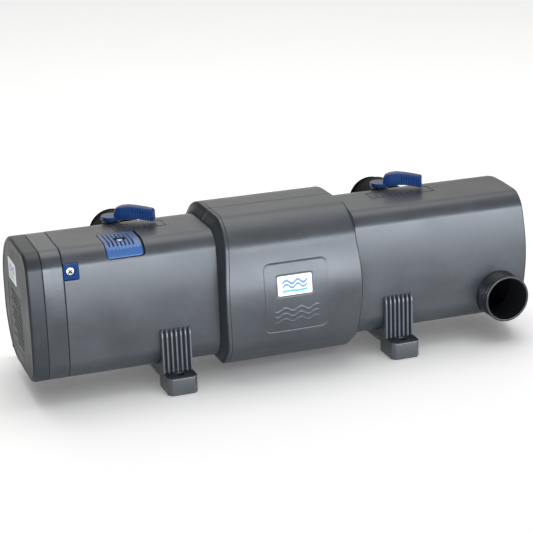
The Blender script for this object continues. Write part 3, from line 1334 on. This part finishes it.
def latch_plate():
    profile = [(x, 0.3) for x in np.linspace(LATCH_X0, LATCH_X1, 150)]
    profile += [(LATCH_X1, -1.9), (LATCH_X0, -1.9)]
    me = loft(sweep(profile, LATCH_PATH, latch_relief))
    mark_where(me, 1, in_groove)
    mark_where(me, 1, lambda x, y, z: x < LATCH_X0 + 0.02)
    mark_where(me, 2, on_point)
    window = plate((LATCH_X0 - 0.5, LATCH_X1 + 0.5, 64.6, 120.0), [5.2, 5.2, 1.0, 1.0], 8,
                   -130.0, 10.0, Y)
    hole = turned([(60.0, 0), (60.0, 7.0), (79.2, 7.0), (80.2, 7.9), (90.0, 7.9), (90.0, 0)],
                  LATCH_SCREW, Z, 48)
    return boolean(me, keep=[mark(window, 1)], cut=[hole])


def screw_head(profile, centre, axis, count, floor, face, reach, half, turn):
    """A turned screw with a tapered cross recess from its floor to its face."""
    cuts = []
    for a in (turn, turn + math.pi / 2):
        c, s = math.cos(a), math.sin(a)
        rows = []
        for depth, r, w in ((floor, reach * 0.45, half * 0.6), (face, reach, half)):
            rows.append(place(axis, depth, [
                (centre[0] + u * c - v * s, centre[1] + u * s + v * c)
                for u, v in ((-r, -w), (r, -w), (r, w), (-r, w))]))
        cuts.append(mark(loft(rows), 1))
    return boolean(mark(turned(profile, centre, axis, count), 0), cut=cuts)


piece(latch_plate(), "latch_plate", "latch", [LATCH_BLUE, LATCH_GROOVE, LATCH_POINT],
      "release_latch", sharp=40)
me = screw_head(fillet([(76.6, 0), (76.6, 1.5), (77.7, 1.5), (78.1, 3.6, 0.3),
                        (79.1, 3.3, 1.2), (79.6, 0)]), LATCH_SCREW, Z, 40,
                floor=77.6, face=80.2, reach=3.1, half=0.8, turn=0.5)
piece(me, "latch_screw_head", "housing", [STEEL, INNER, INNER], "latch_screw")

# ================================================================== lock block
me = bevelled(plate((-259.4, -242.0, 47.0, 66.6), 0.7, 4, -77.9, -75.4, Y), 0.35, 2, 50)
me = boolean(me, cut=[turned([(-80.0, 0), (-80.0, 5.3), (-76.4, 5.3), (-76.4, 2.5),
                              (-74.0, 2.5), (-74.0, 0)], LOCK_SCREW, Y, 48)])
piece(me, "lock_tab", "housing", BLUE, "lock_block")
me = screw_head(fillet([(-74.5, 0), (-74.5, 2.0), (-76.6, 2.0), (-76.6, 4.7, 0.3),
                        (-77.6, 4.5, 1.0), (-78.0, 0)], 5), LOCK_SCREW, Y, 64,
                floor=-76.65, face=-78.6, reach=4.3, half=1.1, turn=0.75)
piece(me, "lock_screw_head", "housing", [STEEL, INNER, INNER], "lock_screw")

# ===================================================== floor, lights and camera
WORLD_STRENGTH, BACKDROP = 1.2, 0.86
FLOOR_HALF = 6.0                             # metres
bpy.context.scene.view_settings.view_transform = 'Standard'


def pale_floor():
    material, tree, bsdf, coords = new_material("pale_floor")
    cloud = noise(tree, coords, scale=3.0, detail=3.0)
    feed(tree, bsdf, {"Base Color": ramp(tree, cloud, low=(0.94,) * 3, high=(0.97,) * 3),
                      "Roughness": 0.7,
                      "Emission Color": (1.0, 1.0, 1.0, 1),
                      "Emission Strength": 0.12})
    return material


me = bpy.data.meshes.new("floor")
me.from_pydata([(x * FLOOR_HALF, y * FLOOR_HALF, 0)
                for x, y in ((-1, -1), (1, -1), (1, 1), (-1, 1))], [], [(0, 1, 2, 3)])
floor = scene_object("floor", me)
me.materials.append(pale_floor())


def studio():
    """A bright room, dimmer to the left, right and front and brighter overhead."""
    world = bpy.data.worlds.new("studio")
    bpy.context.scene.world = world
    world.use_nodes = True
    tree = world.node_tree
    coords = node(tree, "ShaderNodeTexCoord").outputs["Generated"]
    split = node(tree, "ShaderNodeSeparateXYZ", {0: coords})
    left, front, right, low = (
        map_range(tree, split.outputs[axis], source, target, interpolation_type='SMOOTHSTEP')
        for axis, source, target in (("X", (-0.75, 0.05), (0.10, 1.0)),
                                     ("Y", (-0.55, 0.25), (0.60, 1.0)),
                                     ("X", (0.25, 0.80), (1.0, 0.12)),
                                     ("Z", (0.10, 0.60), (0.62, 1.25))))
    strength = left
    for factor in (front, right, low, WORLD_STRENGTH):
        strength = calc(tree, 'MULTIPLY', strength, factor)
    # seen directly, the room is one plain pale backdrop
    camera_ray = node(tree, "ShaderNodeLightPath").outputs["Is Camera Ray"]
    seen = node(tree, "ShaderNodeMix", {0: camera_ray, 2: strength, 3: BACKDROP},
                data_type='FLOAT')
    feed(tree, tree.nodes["Background"], {"Color": (1.0, 1.0, 0.99, 1),
                                          "Strength": seen.outputs[0]})


def area_light(name, location, target, size, size_y, power, colour):
    light = bpy.data.lights.new(name, 'AREA')
    light.shape = 'RECTANGLE'
    light.size, light.size_y = size, size_y
    light.energy = power
    light.color = colour
    ob = scene_object(name, light)
    ob.location = location
    ob.rotation_euler = (Vector(target) - Vector(location)).to_track_quat('-Z', 'Y').to_euler()
    return ob


studio()
front = area_light("front_soft", location=(0.45, -0.98, 0.175), target=(0.45, 0.0, 0.13),
                   size=3.0, size_y=0.35, power=40.0, colour=(0.82, 0.90, 1.0))
front.visible_camera = False
# it lights the object and leaves the floor evenly lit
lit = bpy.data.collections.new("lit_by_front_soft")
lit.objects.link(floor)
lit.collection_objects[0].light_linking.link_state = 'EXCLUDE'
front.light_linking.receiver_collection = lit
area_light("top_soft", location=(0.2, 0.5, 2.6), target=(0.0, 0.0, 0.1),
           size=2.6, size_y=1.8, power=28.0, colour=(1.0, 1.0, 0.99))


def add_camera(position, azimuth, elevation, roll, lens):
    """A camera at a design position, its angles in degrees."""
    azimuth, elevation, roll = (math.radians(a) for a in (azimuth, elevation, roll))
    data = bpy.data.cameras.new("camera")
    camera = scene_object("camera", data)
    back = Vector((math.sin(azimuth) * math.cos(elevation),
                   -math.cos(azimuth) * math.cos(elevation), math.sin(elevation)))
    level = Vector((math.cos(azimuth), math.sin(azimuth), 0.0))
    upright = level.cross(-back)
    right = math.cos(roll) * level + math.sin(roll) * upright
    up = -math.sin(roll) * level + math.cos(roll) * upright
    camera.matrix_world = (Matrix.Translation(Vector(to_world(position)))
                           @ Matrix((right, up, back)).transposed().to_4x4())
    data.sensor_width = 36.0
    data.lens = lens
    data.clip_start = 0.05
    data.clip_end = 60.0
    bpy.context.scene.camera = camera


add_camera(position=[-615.6, -1809.2, 626.2], azimuth=-19.16, elevation=18.01, roll=-1.8,
           lens=108.902364)
